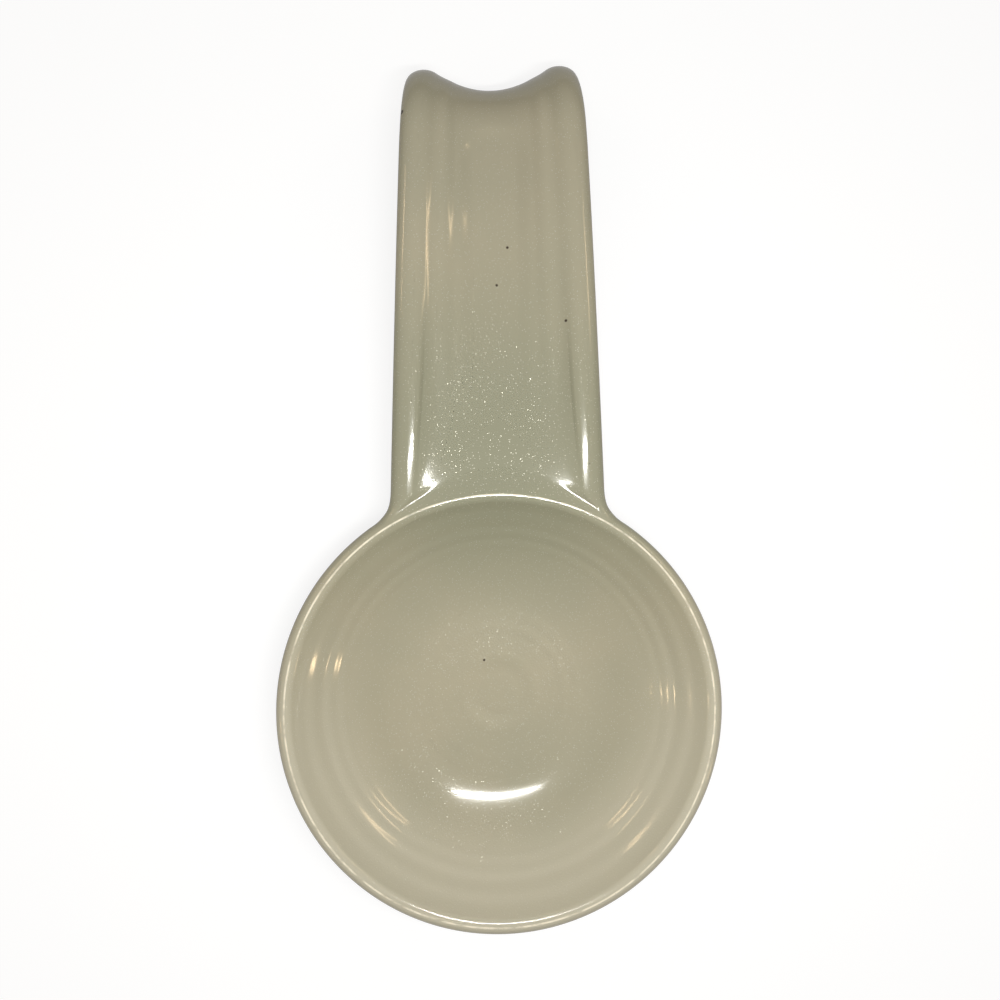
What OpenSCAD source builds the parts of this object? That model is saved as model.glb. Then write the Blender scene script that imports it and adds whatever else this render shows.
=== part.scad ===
// Spoon rest: a round ringed dish with a trough handle that rolls down to the counter at its far end.
// The dish's axis is the Z axis, the counter is the plane z = 0 and the handle runs along +Y.
// Every surface is described as it is when glazed; the clay lies one glaze coat inside it.
// Lengths are in millimetres and angles in degrees.

/* [Dish] */
// Diameter over the lip
dish_d = 104; // [96:1:116]
// Depth of the hollow from the lip's crest to the middle of the floor
dish_depth = 18; // [15:0.5:21]
// Radius that the nearly level floor is dished to
floor_curve_r = 400; // [300:20:600]
// Radius of the floor, where the wall begins
floor_r = 21; // [19:0.5:24]
// Height of the low dome in the middle of the floor
dome_h = 1; // [0.4:0.1:1.4]
// Thickness of the floor, glaze included
floor_t = 5; // [4:0.25:6]
// Height of the middle of the underside above the counter
under_gap = 2; // [1.4:0.1:5]
// Thickness of the rounded lip, glaze included
lip_t = 4.4; // [3.4:0.1:5]
// Slope of the wall where it meets the lip
lip_slope = 55; // [48:1:65]

/* [Rings] */
// Height of the highest ring in the dish
ring_h = 0.5; // [0.3:0.05:0.8]

/* [Foot ring] */
// Outer diameter of the foot ring where it stands on the counter
foot_d = 58; // [48:1:66]
// Width of the foot ring's standing face
foot_face_w = 3.4; // [2.5:0.1:5]
// Rounding of the foot ring's two lower edges
foot_round_r = 0.8; // [0.4:0.1:1.1]
// How much wider the foot ring is at each side where it joins the dish
foot_flare_w = 1.6; // [0.8:0.1:2.4]
// Distance outside the foot ring at which the underside turns up into the wall
turn_gap = 1.4; // [0.8:0.2:4]

/* [Handle] */
// Distance from the dish's axis to the outermost point of the handle's far end
handle_reach = 156; // [140:1:170]
// Width of the handle at the dish
root_w = 51.6; // [44:0.4:54]
// Width of the handle at the counter
end_w = 39.6; // [34:0.4:44]
// Thickness of the handle, glaze included
handle_t = 4.6; // [4:0.1:5.4]
// How far the trough's rounded edges stand above its floor where the handle rolls over
trough_d = 5; // [3.5:0.25:6]
// The same height at the dish, where the trough runs out
root_trough_d = 0.5; // [0.2:0.1:1.2]
// How far the trough's floor lies under the lip's crest where it meets the lip
root_drop = 0.2; // [0:0.1:1.2]
// Slope of the trough's floor at the dish
root_slope = 5; // [3:0.5:8]
// Radius of the trough's floor where it rolls over
bend_r = 17; // [13:0.5:20]
// Radius of the fillets where the handle's sides meet the lip
fillet_r = 10; // [6:0.5:12]

/* [Handle edges and channel] */
// Distance from the handle's side to the crest of its rounded edge
edge_crest_in = 3.9; // [3:0.1:4.5]
// How far the widest point of the rounded edge lies under its crest
edge_drop = 2.4; // [1.8:0.1:2.8]
// Height of the rounded edge from its crest to its underside
edge_h = 5; // [4.4:0.1:5.8]
// Distance from the handle's side to where the edge's underside flattens out
edge_under_in = 3; // [2:0.1:4]
// Width of the flat channel along the middle of the trough
channel_w = 13.2; // [10:0.4:16]
// Width of the step at each side of the channel
step_w = 2; // [1.2:0.1:3]
// Height of that step
step_h = 0.6; // [0.3:0.05:1]
// Height of the fine ridge outside each step
ridge_h = 0.35; // [0.2:0.05:0.6]
// Depth of the groove between the fine ridge and the rounded edge
groove_d = 0.5; // [0.2:0.05:0.8]

/* [Clay and glaze] */
// Thickness of the glaze coat
glaze_t = 0.4; // [0.25:0.05:0.6]
// Height of the bare heel under the handle's far end
heel_h = 2; // [1.2:0.1:4]

/* [Hidden] */
$fn = 96;

clay = [0.86, 0.83, 0.76];
glaze = [0.66, 0.64, 0.55];

dish_r = dish_d / 2;
// Height of the lip's crest above the counter
dish_h = under_gap + floor_t + dish_depth;
foot_r = foot_d / 2;
// Slope of the trough's floor where the roll begins: just past level
roll_slope = -1;
// Slope of the leg that the roll ends in
leg_slope = -90;
// Length over which the channel, ridges and grooves fade in, behind the lip
fade_gap = 5;
fade_l = 26;
// How far the solid that trims the handle stands above the lip
overrun = 10;

// Rings in the dish, from the middle outwards: middle radius and width as shares of the
// dish's radius, then height as a share of ring_h
ring_shares = [
    [0.192, 0.190, 0.80],
    [0.729, 0.055, 0.30],
    [0.785, 0.062, 0.60],
    [0.851, 0.081, 1.00]
];

// Width of the dome as a share of the dish's radius
dome_w_share = 0.79;
// How strongly the wall leaves the floor's direction; lower turns up sooner
wall_start_share = 0.6;

// Places across half of the trough's top, as shares of the way to the edge's crest
across_shares = [0, 0.28, 0.33, 0.38, 0.43, 0.53, 0.6, 0.67, 0.74, 0.82, 0.92, 1];
// Where the fine ridge and the groove lie, and how wide they are, as shares of the same way
ridge_share = 0.6;
ridge_w_share = 0.14;
groove_share = 0.8;
groove_w_share = 0.3;

// Number of points on each stretch of the outlines
floor_steps = 36;
wall_steps = 60;
outer_wall_steps = 12;
lip_steps = 16;
under_steps = 8;
seat_steps = 4;
foot_steps = 5;
edge_steps = 4;
bottom_steps = 5;
root_stations = 12;
arch_stations = 7;
arch_end_stations = 6;
bend_stations = 10;
leg_stations = 1;

// Shapes of curves

// A rounded bump of height 1 and width w round x = 0
function bump(x, w) = abs(x) < w / 2 ? pow(cos(180 * x / w), 2) : 0;

// Rises smoothly from 0 to 1 as x goes from 0 to 1
function ease(x) = x <= 0 ? 0 : x >= 1 ? 1 : x * x * (3 - 2 * x);

// A curve from point a, along slope a_dir, to point b, along slope b_dir, without its first point
function blend_curve(a, a_dir, b, b_dir, steps, a_share = 1) =
    let (l = norm(b - a))
    [for (i = [1 : steps])
        let (u = i / steps, v = 1 - u)
        a * (v * v * (1 + 2 * u)) + b * (u * u * (1 + 2 * v))
        + l * (a_share * u * v * v * [cos(a_dir), sin(a_dir)] - u * u * v * [cos(b_dir), sin(b_dir)])];

// An arc round centre c from angle a to angle b
function arc(c, r, a, b, steps) =
    [for (i = [0 : steps]) let (t = a + (b - a) * i / steps) c + r * [cos(t), sin(t)]];

// The dish in section: radius along x, height along y

floor_centre_z = under_gap + floor_t + floor_curve_r;
lip_centre = [dish_r - lip_t / 2, dish_h - lip_t / 2];

// Height at radius r of a sphere of radius curve_r that the floor or its underside follows
function cap_z(r, curve_r) = floor_centre_z - sqrt(curve_r * curve_r - r * r);

// Slope of that sphere at radius r
function cap_slope(r, curve_r) = asin(r / curve_r);

function ring_relief(r) =
    dome_h * bump(r, dome_w_share * dish_r)
    + ring_h * [for (s = ring_shares) s[2]] * [for (s = ring_shares) bump(r - s[0] * dish_r, s[1] * dish_r)];

function with_rings(points) = [for (p = points) p + [0, ring_relief(p[0])]];

// The hollow's surface from the axis to the lip, t inside the glazed surface
function hollow_points(t) =
    let (
        curve_r = floor_curve_r + t,
        rim = lip_centre + (lip_t / 2 - t) * [-sin(lip_slope), cos(lip_slope)],
        edge = [floor_r, cap_z(floor_r, curve_r)],
        cap = [for (i = [0 : floor_steps]) let (r = floor_r * i / floor_steps) [r, cap_z(r, curve_r)]],
        wall = blend_curve(edge, cap_slope(floor_r, curve_r), rim, lip_slope, wall_steps - 1, wall_start_share)
    )
    with_rings(concat(cap, wall));

// Over the lip, from the hollow's side to the outside
function lip_points(t) =
    let (turn = arc(lip_centre, lip_t / 2 - t, 90 + lip_slope, lip_slope - 90, lip_steps))
    [for (i = [1 : lip_steps]) turn[i]];

under_curve_r = floor_curve_r + floor_t;
seat_in_r = foot_r - foot_face_w - foot_flare_w;
seat_out_r = foot_r + foot_flare_w;
under_r = seat_out_r + turn_gap;

function under_point(r, t) = [r, cap_z(r, under_curve_r - t)];

// Down the outside, from the lip to the foot ring
function outside_points(t) =
    let (
        low = under_point(under_r, t),
        low_slope = cap_slope(under_r, under_curve_r - t),
        lip_low = lip_centre + (lip_t / 2 - t) * [sin(lip_slope), -cos(lip_slope)],
        wall = blend_curve(lip_low, lip_slope + 180, low, low_slope + 180, outer_wall_steps)
    )
    concat(wall, under_arc(under_r, seat_out_r, t, seat_steps));

// The underside from radius a to radius b, without its first point
function under_arc(a, b, t, steps) = [for (i = [1 : steps]) under_point(a + (b - a) * i / steps, t)];

function seat_points(t) = under_arc(seat_out_r, seat_in_r, t, seat_steps);

function base_points(t) = under_arc(seat_in_r, 0, t, under_steps);

function dish_side(t) = concat(hollow_points(t), lip_points(t), outside_points(t));

function reversed(points) = [for (i = [len(points) - 1 : -1 : 0]) points[i]];

// Clay and glaze of the dish

module revolved(points) rotate_extrude() polygon(points);

module bowl()
    color(clay) revolved(concat(dish_side(glaze_t), seat_points(glaze_t), base_points(glaze_t)));

module foot_ring() {
    top = concat([under_point(seat_out_r, glaze_t)], seat_points(glaze_t));
    in_r = foot_r - foot_face_w;
    color(clay) revolved(concat(
        top,
        arc([in_r + foot_round_r, foot_round_r], foot_round_r, 180, 270, foot_steps),
        arc([foot_r - foot_round_r, foot_round_r], foot_round_r, 270, 360, foot_steps)
    ));
}

module bowl_glaze() color(glaze) revolved(concat(dish_side(0), reversed(dish_side(glaze_t))));

module base_glaze()
    color(glaze) revolved(concat(
        [under_point(seat_in_r, 0)], base_points(0),
        reversed(base_points(glaze_t)), [under_point(seat_in_r, glaze_t)]
    ));

// The handle's path: the middle of the trough's floor, seen from the side, as [y, z]

reach_at_root = sqrt(dish_r * dish_r - pow(root_w / 2 + fillet_r, 2)) - lip_t;
root_z = dish_h - root_drop - (dish_r - reach_at_root) * tan(root_slope);
bend_y = handle_reach - trough_d - bend_r * (sin(roll_slope) - sin(leg_slope));
arch_r = (bend_y - reach_at_root) / (sin(root_slope) - sin(roll_slope));
bend_z = root_z + arch_r * (cos(roll_slope) - cos(root_slope));
leg_y = bend_y + bend_r * (sin(roll_slope) - sin(leg_slope));
leg_z = bend_z + bend_r * (cos(leg_slope) - cos(roll_slope));

// One station along the path: its slope, place and distance from the path's start
function arch_station(u) =
    let (slope = root_slope + (roll_slope - root_slope) * u)
    [
        slope,
        [reach_at_root + arch_r * (sin(root_slope) - sin(slope)), root_z + arch_r * (cos(slope) - cos(root_slope))],
        arch_l * u
    ];

function bend_station(u) =
    let (slope = roll_slope + (leg_slope - roll_slope) * u)
    [
        slope,
        [bend_y + bend_r * (sin(roll_slope) - sin(slope)), bend_z + bend_r * (cos(slope) - cos(roll_slope))],
        arch_l + bend_l * u
    ];

function leg_station(z) = [leg_slope, [leg_y, z], arch_l + bend_l + leg_z - z];

arch_l = arch_r * (root_slope - roll_slope) * PI / 180;
bend_l = bend_r * (roll_slope - leg_slope) * PI / 180;
path_l = arch_l + bend_l + leg_z;

// Where the fillets end and where the channel's round end begins, measured along the path
root_l = fillet_r + dish_r - reach_at_root;
channel_l = arch_l - channel_w / 2;
arch_tail_l = arch_l - channel_w;

function arch_run(from_l, to_l, count) =
    [for (i = [1 : count]) arch_station((from_l + (to_l - from_l) * i / count) / arch_l)];

stations = concat(
    [arch_station(0)],
    arch_run(0, root_l, root_stations),
    arch_run(root_l, arch_tail_l, arch_stations),
    arch_run(arch_tail_l, arch_l, arch_end_stations),
    [for (i = [1 : bend_stations]) bend_station(i / bend_stations)],
    [for (i = [1 : leg_stations]) leg_station(leg_z + (heel_h - leg_z) * i / leg_stations)]
);

// The handle in section: x across the handle, y away from the counter

// Half of the handle's width at a station, with the fillet against the lip
function half_width(station) =
    let (
        side = (root_w + (end_w - root_w) * station[2] / path_l) / 2,
        centre_x = side + fillet_r,
        centre_y = sqrt(pow(dish_r + fillet_r, 2) - centre_x * centre_x),
        touch_y = centre_y * dish_r / (dish_r + fillet_r),
        into = min(max(centre_y - station[1][0], 0), centre_y - touch_y)
    )
    centre_x - sqrt(fillet_r * fillet_r - into * into);

function trough_depth(station) = root_trough_d + (trough_d - root_trough_d) * ease(station[2] / arch_l);

// How much of the channel, ridges and grooves shows at a station: none at the lip and past the roll
function relief_share(station) =
    ease((station[1][0] - dish_r - fade_gap) / fade_l) * (1 - ease((station[2] - arch_l) / bend_l));

// Height of the trough's relief above its floor, at distance x from the middle
function relief(x, crest_x, station) =
    let (
        past = max(station[2] - channel_l, 0),
        from_channel = norm([x, past]) - channel_w / 2 + step_w / 2
    )
    relief_share(station) * (
        step_h * ease(from_channel / step_w)
        + ridge_h * bump(x - ridge_share * crest_x, ridge_w_share * crest_x)
        - groove_d * bump(x - groove_share * crest_x, groove_w_share * crest_x)
        - step_h * ease((x / crest_x - groove_share) / (1 - groove_share))
    );

// Half of the section's outline, from the middle of the top round the edge to the middle below
function half_section(station) =
    let (
        w = half_width(station),
        depth = trough_depth(station),
        crest_x = w - edge_crest_in,
        under_x = w - edge_under_in,
        top = [for (s = across_shares) [s * crest_x, depth * s * s + relief(s * crest_x, crest_x, station)]],
        upper = [for (i = [1 : edge_steps])
            let (a = 90 - 90 * i / edge_steps)
            [crest_x + edge_crest_in * cos(a), depth - edge_drop * (1 - sin(a))]],
        lower = [for (i = [1 : edge_steps])
            let (a = -90 * i / edge_steps)
            [under_x + edge_under_in * cos(a), depth - edge_drop + (edge_h - edge_drop) * sin(a)]],
        below = [for (i = [1 : bottom_steps])
            let (s = 1 - i / bottom_steps)
            [s * under_x, depth * s * s - handle_t - (edge_h - handle_t) * pow(s, 4)]]
    )
    concat(top, upper, lower, below);

function mirrored_outline(half) =
    concat(half, [for (i = [len(half) - 2 : -1 : 1]) [-half[i][0], half[i][1]]]);

// The closed outline moved inwards by t, square to itself
function inset_outline(points, t) =
    let (n = len(points))
    [for (i = [0 : n - 1])
        let (
            along = points[(i + 1) % n] - points[(i + n - 1) % n],
            inwards = [along[1], -along[0]] / norm(along)
        )
        points[i] + t * inwards];

function section_points(station, t) = inset_outline(mirrored_outline(half_section(station)), t);

// A section's points set at its station, square to the path
function placed(points, station) =
    let (up = [-sin(station[0]), cos(station[0])])
    [for (p = points) [p[0], station[1][0] + p[1] * up[0], station[1][1] + p[1] * up[1]]];

function ring_of_points(station, t) = placed(section_points(station, t), station);

// The triangles between ring k and ring k + 1, of n points each
function wall_faces(k, n) =
    [for (i = [0 : n - 1])
        let (a = k * n + i, b = k * n + (i + 1) % n)
        each [[a, b, b + n], [a, b + n, a + n]]];

function all_points(rings) = [for (ring = rings) each ring];

// Joins equal rings of points into one closed solid with flat ends
module lofted(rings) {
    n = len(rings[0]);
    last = (len(rings) - 1) * n;
    polyhedron(all_points(rings), concat(
        [[for (i = [n - 1 : -1 : 0]) i]],
        [[for (i = [0 : n - 1]) last + i]],
        [for (k = [0 : len(rings) - 2]) each wall_faces(k, n)]
    ));
}

// The triangles that close the end of a shell between its outer ring, which starts at point
// first, and its inner ring, whose points are numbered skin higher
function end_faces(first, n, skin) =
    [for (i = [0 : n - 1])
        let (a = first + i, b = first + (i + 1) % n)
        each [[a, b, b + skin], [a, b + skin, a + skin]]];

// Joins equal rings of points into a shell between an outer skin and an inner one
module lofted_shell(outer_rings, inner_rings) {
    n = len(outer_rings[0]);
    skin = len(outer_rings) * n;
    walls = [for (k = [0 : len(outer_rings) - 2]) each wall_faces(k, n)];
    polyhedron(all_points(concat(outer_rings, inner_rings)), concat(
        walls,
        [for (face = walls) reversed([for (i = face) i + skin])],
        [for (face = end_faces(0, n, skin)) reversed(face)],
        end_faces(skin - n, n, skin)
    ));
}

function handle_rings(t) = [for (s = stations) ring_of_points(s, t)];

// The dish filled level above its lip, which the handle is trimmed to
module dish_plug()
    revolved(concat(
        [[0, dish_h + overrun], [lip_centre[0], dish_h + overrun], [lip_centre[0], dish_h]],
        [for (p = lip_points(0)) if (p[0] > lip_centre[0]) p],
        outside_points(0), seat_points(0), base_points(0)
    ));

module handle()
    color(clay) difference() {
        lofted(handle_rings(glaze_t));
        dish_plug();
    }

module handle_glaze()
    color(glaze) difference() {
        lofted_shell(handle_rings(0), handle_rings(glaze_t));
        dish_plug();
    }

module heel()
    color(clay) linear_extrude(heel_h)
        polygon([for (p = ring_of_points(leg_station(heel_h), glaze_t)) [p[0], p[1]]]);

bowl();
foot_ring();
handle();
heel();
bowl_glaze();
base_glaze();
handle_glaze();
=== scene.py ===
"""Looks of a glazed stoneware spoon rest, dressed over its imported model.

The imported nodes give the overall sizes. The glaze is modelled as a coat of real thickness over the
clay: one coat on the dish, one under its base and one on the handle, which flows into the lip.
Lengths in the classes are millimetres and angles degrees; meshes are written in metres.
"""

import logging
import math
from dataclasses import asdict, dataclass, field
from enum import Enum
from typing import Callable

import bpy
import numpy as np
from mathutils import Matrix, Vector
from mathutils.geometry import delaunay_2d_cdt

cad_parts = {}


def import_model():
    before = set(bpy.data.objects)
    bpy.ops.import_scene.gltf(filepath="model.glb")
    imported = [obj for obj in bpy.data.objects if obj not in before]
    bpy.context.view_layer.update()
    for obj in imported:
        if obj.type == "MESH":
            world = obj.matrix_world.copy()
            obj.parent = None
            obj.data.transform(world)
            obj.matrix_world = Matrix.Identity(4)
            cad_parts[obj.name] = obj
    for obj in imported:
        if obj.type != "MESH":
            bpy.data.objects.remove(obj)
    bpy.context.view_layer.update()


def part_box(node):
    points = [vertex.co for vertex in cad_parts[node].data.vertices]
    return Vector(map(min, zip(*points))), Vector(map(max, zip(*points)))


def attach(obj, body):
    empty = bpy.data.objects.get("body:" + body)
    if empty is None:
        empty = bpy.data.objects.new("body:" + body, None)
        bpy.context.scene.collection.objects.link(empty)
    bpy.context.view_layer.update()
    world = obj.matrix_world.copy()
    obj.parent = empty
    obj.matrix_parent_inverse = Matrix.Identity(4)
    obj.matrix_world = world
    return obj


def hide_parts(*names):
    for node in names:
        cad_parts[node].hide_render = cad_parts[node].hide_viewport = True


MM = 0.001
LOG = logging.getLogger("spoon_rest")

Points = np.ndarray
Faces = list[tuple[int, ...]]
Triple = tuple[float, float, float]
Colour = tuple[float, float, float, float]
Socket = bpy.types.NodeSocket
Value = Socket | float | tuple[float, ...]
Inputs = dict[str | int, Value]

# The least divisor, and how near the axis a point in mm counts as on it
TINY = 1e-9
ON_AXIS = 1e-6


class Slot(Enum):
    """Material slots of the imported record."""

    GLAZE = "stone_glaze"
    CLAY = "bare_clay"


# Curves


def hermite(a: Points, a_run: Points, b: Points, b_run: Points, u: np.ndarray | float) -> Points:
    """Cubic curve from a to b.

    Args:
        a: Start point, or one start point a row.
        a_run: Tangent at the start.
        b: End point.
        b_run: Tangent at the end.
        u: Places along the curve, from 0 to 1, shaped to broadcast against the points.

    Returns:
        The points at u.
    """
    v = 1 - u
    return a * (v * v * (1 + 2 * u)) + b * (u * u * (1 + 2 * v)) + a_run * (u * v * v) - b_run * (u * u * v)


def heading(angle: float) -> Points:
    """Unit vector at an angle in degrees."""
    return np.array([math.cos(math.radians(angle)), math.sin(math.radians(angle))])


def arc(centre: Points, radius: float, start: float, end: float, count: int) -> Points:
    """Points on an arc round centre, from angle start to angle end, in degrees."""
    return np.array([centre + radius * heading(a) for a in np.linspace(start, end, count)])


def ease(x: np.ndarray) -> np.ndarray:
    """Rises smoothly from 0 to 1 as x goes from 0 to 1."""
    x = np.clip(x, 0, 1)
    return x * x * (3 - 2 * x)


def bump(x: np.ndarray, width: float | np.ndarray) -> np.ndarray:
    """A rounded bump of height 1 and the given width round 0."""
    return np.where(np.abs(x) < width / 2, np.cos(np.pi * x / width) ** 2, 0.0)


def unit(v: Points) -> Points:
    """Vectors scaled to length 1."""
    return v / np.maximum(np.linalg.norm(v, axis=-1, keepdims=True), TINY)


# Meshes


@dataclass
class Skin:
    """A surface as points in mm with a normal each, and faces that look outwards.

    Its bend says how sharply it bends at each point, per mm: above 0 in hollows, below 0 on crests.
    """

    points: Points
    normals: Points
    faces: Faces
    bend: np.ndarray | None = None

    def __post_init__(self) -> None:
        """Measures the bend where none is given."""
        if self.bend is None:
            self.bend = self.measured_bend()

    def measured_bend(self, passes: int = 3) -> np.ndarray:
        """Measures the bend from how far each point's neighbours lie off its tangent plane.

        Args:
            passes: How often each point is evened out with its neighbours.

        Returns:
            One bend a point.
        """
        pairs = {tuple(sorted((f[i - 1], f[i]))) for f in self.faces for i in range(len(f))}
        a, b = np.array(sorted(pairs)).T
        apart = self.points[b] - self.points[a]
        square = np.maximum((apart**2).sum(1), TINY)
        n = len(self.points)
        count = np.maximum(np.bincount(a, minlength=n) + np.bincount(b, minlength=n), 1)
        rise_a = np.bincount(a, (apart * self.normals[a]).sum(1) / square, n)
        rise_b = np.bincount(b, (-apart * self.normals[b]).sum(1) / square, n)
        bend = 2 * (rise_a + rise_b) / count
        for _ in range(passes):
            near = (np.bincount(a, bend[b], n) + np.bincount(b, bend[a], n)) / count
            bend = (bend + near) / 2
        return bend

    def moved(self, distance: float) -> Points:
        """The points moved outwards by a distance."""
        return self.points + self.normals * distance

    def rims(self) -> list[tuple[int, int]]:
        """Finds the open edges.

        Returns:
            Edges that only one face has, in that face's direction.
        """
        edges = {(f[i], f[(i + 1) % len(f)]) for f in self.faces for i in range(len(f))}
        return [e for e in edges if (e[1], e[0]) not in edges]

    def coat(self, thickness: float) -> "Skin":
        """Makes a coat under this surface.

        Args:
            thickness: Thickness of the coat.

        Returns:
            The closed coat between this surface and one that lies thickness under it.
        """
        n = len(self.points)
        walls = [(j, i, i + n, j + n) for i, j in self.rims()]
        under = [tuple(i + n for i in reversed(f)) for f in self.faces]
        return Skin(
            np.vstack([self.points, self.moved(-thickness)]),
            np.vstack([self.normals, -self.normals]),
            self.faces + under + walls,
            np.tile(self.bend, 2),
        )


def bend_together(first: Skin, second: Skin, shared: int) -> None:
    """Measures the bend of two skins as one, so that it runs on evenly where they meet.

    Args:
        first: A skin whose last points are the shared ones.
        second: A skin whose first points are the shared ones, in the same order.
        shared: Number of shared points.
    """
    start = len(first.points) - shared
    whole = Skin(
        np.vstack([first.points, second.points[shared:]]),
        np.vstack([first.normals, second.normals[shared:]]),
        first.faces + [tuple(i + start for i in f) for f in second.faces],
    )
    first.bend = whole.bend[:len(first.points)]
    second.bend = whole.bend[start:]


def grid_faces(rows: int, columns: int, keep: Callable[[int, int], bool] = lambda j, i: True) -> Faces:
    """Four-sided faces of a grid that closes on itself across its columns.

    Args:
        rows: Number of rows of points.
        columns: Number of points in a row.
        keep: Says which cells, by row and column, get a face.

    Returns:
        Faces that look outwards where rows run down an upright form and columns run counter-clockwise.
    """
    faces = []
    for j in range(rows - 1):
        for i in range(columns):
            if keep(j, i):
                a, b = j * columns + i, j * columns + (i + 1) % columns
                faces.append((a, b, b + columns, a + columns))
    return faces


def fan_faces(pole: int, first: int, count: int) -> Faces:
    """Triangles between a pole and the ring of count points that starts at point first."""
    return [(pole, first + (i + 1) % count, first + i) for i in range(count)]


def add_piece(name: str, skin: Skin, material: bpy.types.Material, node: str) -> bpy.types.Object:
    """Writes a skin as an object that rides on the part and stands for a CAD node.

    Args:
        name: Name of the piece.
        skin: Its surface.
        material: Its material.
        node: CAD node that it stands for.

    Returns:
        The new object.
    """
    mesh = bpy.data.meshes.new(name)
    mesh.from_pydata((skin.points * MM).tolist(), [], skin.faces)
    mesh.validate()
    mesh.polygons.foreach_set("use_smooth", [True] * len(mesh.polygons))
    mesh.normals_split_custom_set_from_vertices(skin.normals.tolist())
    bend = mesh.attributes.new("bend", "FLOAT", "POINT")
    bend.data.foreach_set("value", skin.bend.astype(np.float32))
    mesh.materials.append(material)
    piece = bpy.data.objects.new(name, mesh)
    bpy.context.scene.collection.objects.link(piece)
    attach(piece, "root")
    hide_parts(node)
    LOG.info("%s: %d points, %d faces", name, len(mesh.vertices), len(mesh.polygons))
    return piece


# The dish


@dataclass(frozen=True)
class Ring:
    """A raised ring in the dish, from its middle radius, its width and its height."""

    radius: float
    width: float
    height: float


@dataclass
class DishProfile:
    """The glazed surface of the dish in section, from the middle of the hollow to the foot ring."""

    radius: float
    height: float
    depth: float = 18.0
    floor_curve: float = 400.0
    floor_r: float = 21.0
    floor_t: float = 5.0
    wall_start: float = 0.6
    lip_t: float = 4.4
    lip_slope: float = 55.0
    foot_r: float = 29.0
    foot_face: float = 3.4
    foot_flare: float = 1.6
    turn_gap: float = 1.4
    dome: Ring = Ring(0.0, 41.0, 0.75)
    dimple_r: float = 5.0
    dimple_edge: float = 5.0
    dimple_depth: float = 0.55
    rings: tuple[Ring, ...] = (
        Ring(16.6, 4.2, 0.04),
        Ring(37.9, 2.9, 0.07),
        Ring(40.8, 3.2, 0.12),
        Ring(44.3, 4.2, 0.24),
    )
    floor_points: int = 500
    wall_points: int = 300
    lip_points: int = 160
    under_points: int = 40
    base_points: int = 60
    s: np.ndarray = field(init=False)
    line: Points = field(init=False)
    normal: Points = field(init=False)

    def __post_init__(self) -> None:
        """Lays the whole outline and measures it from the lip's crest."""
        parts = [self.hollow(0), self.lip(0)[1:], self.outside(0)[1:]]
        self.line = np.vstack(parts)
        run = np.concatenate([[0], np.cumsum(np.linalg.norm(np.diff(self.line, axis=0), axis=1))])
        self.s = run - run[np.argmax(self.line[:, 1])]
        along = unit(np.gradient(self.line, self.s, axis=0))
        self.normal = np.stack([-along[:, 1], along[:, 0]], 1)

    @property
    def centre_z(self) -> float:
        """Height of the centre that the floor is dished to."""
        return self.height - self.depth + self.floor_curve

    @property
    def lip_r(self) -> float:
        """Radius of the rounded lip."""
        return self.lip_t / 2

    @property
    def lip_centre(self) -> Points:
        """Centre of the rounded lip in section."""
        return np.array([self.radius - self.lip_r, self.height - self.lip_r])

    def cap(self, r: np.ndarray, curve: float) -> Points:
        """Points at radius r on a sphere about the floor's centre."""
        return np.stack([r, self.centre_z - np.sqrt(curve * curve - r * r)], 1)

    @property
    def under_r(self) -> float:
        """Radius at which the underside turns up into the wall."""
        return self.foot_r + self.foot_flare + self.turn_gap

    def relief(self, r: np.ndarray) -> np.ndarray:
        """Height of the dome with its dimple and of the rings at radius r."""
        rings = sum(ring.height * bump(r - ring.radius, ring.width) for ring in (self.dome, *self.rings))
        return rings - self.dimple_depth * (1 - ease((r - self.dimple_r) / self.dimple_edge))

    def hollow(self, inset: float) -> Points:
        """Lays the hollow from the axis to the lip.

        Args:
            inset: How far it lies under the glazed surface.

        Returns:
            Its points as radius and height.
        """
        curve = self.floor_curve + inset
        cap = self.cap(np.linspace(0, self.floor_r, self.floor_points), curve)
        rim = self.lip_centre + (self.lip_r - inset) * heading(self.lip_slope + 90)
        slope = math.degrees(math.asin(self.floor_r / curve))
        reach = np.linalg.norm(rim - cap[-1])
        u = np.linspace(0, 1, self.wall_points)[1:, None]
        start = self.wall_start * reach * heading(slope)
        wall = hermite(cap[-1], start, rim, reach * heading(self.lip_slope), u)
        line = np.vstack([cap, wall])
        line[:, 1] += self.relief(line[:, 0])
        return line

    def lip(self, inset: float) -> Points:
        """Over the lip, from the hollow's side to the outside."""
        start, end = self.lip_slope + 90, self.lip_slope - 90
        return arc(self.lip_centre, self.lip_r - inset, start, end, self.lip_points)

    def outside(self, inset: float) -> Points:
        """Goes down the outside, from the lip to the foot ring.

        Args:
            inset: How far it lies under the glazed surface.

        Returns:
            Its points as radius and height.
        """
        curve = self.floor_curve + self.floor_t - inset
        top = self.lip_centre + (self.lip_r - inset) * heading(self.lip_slope - 90)
        low = self.cap(np.array([self.under_r]), curve)[0]
        slope = math.degrees(math.asin(self.under_r / curve))
        reach = np.linalg.norm(top - low)
        u = np.linspace(0, 1, self.wall_points)[:, None]
        wall = hermite(top, reach * heading(self.lip_slope + 180), low, reach * heading(slope + 180), u)
        under = np.linspace(self.under_r, self.foot_r + self.foot_flare, self.under_points)
        return np.vstack([wall, self.cap(under[1:], curve)])

    def base(self, inset: float) -> Points:
        """The underside from the foot ring's inner side to the axis."""
        inner = self.foot_r - self.foot_face - self.foot_flare
        return self.cap(np.linspace(inner, 0, self.base_points), self.floor_curve + self.floor_t - inset)

    def at(self, s: np.ndarray) -> tuple[Points, Points]:
        """Finds places on the outline.

        Args:
            s: Distances past the lip's crest.

        Returns:
            The points and their normals, as radius and height.
        """
        line = np.stack([np.interp(s, self.s, self.line[:, i]) for i in (0, 1)], -1)
        normal = np.stack([np.interp(s, self.s, self.normal[:, i]) for i in (0, 1)], -1)
        return line, unit(normal)


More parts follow.
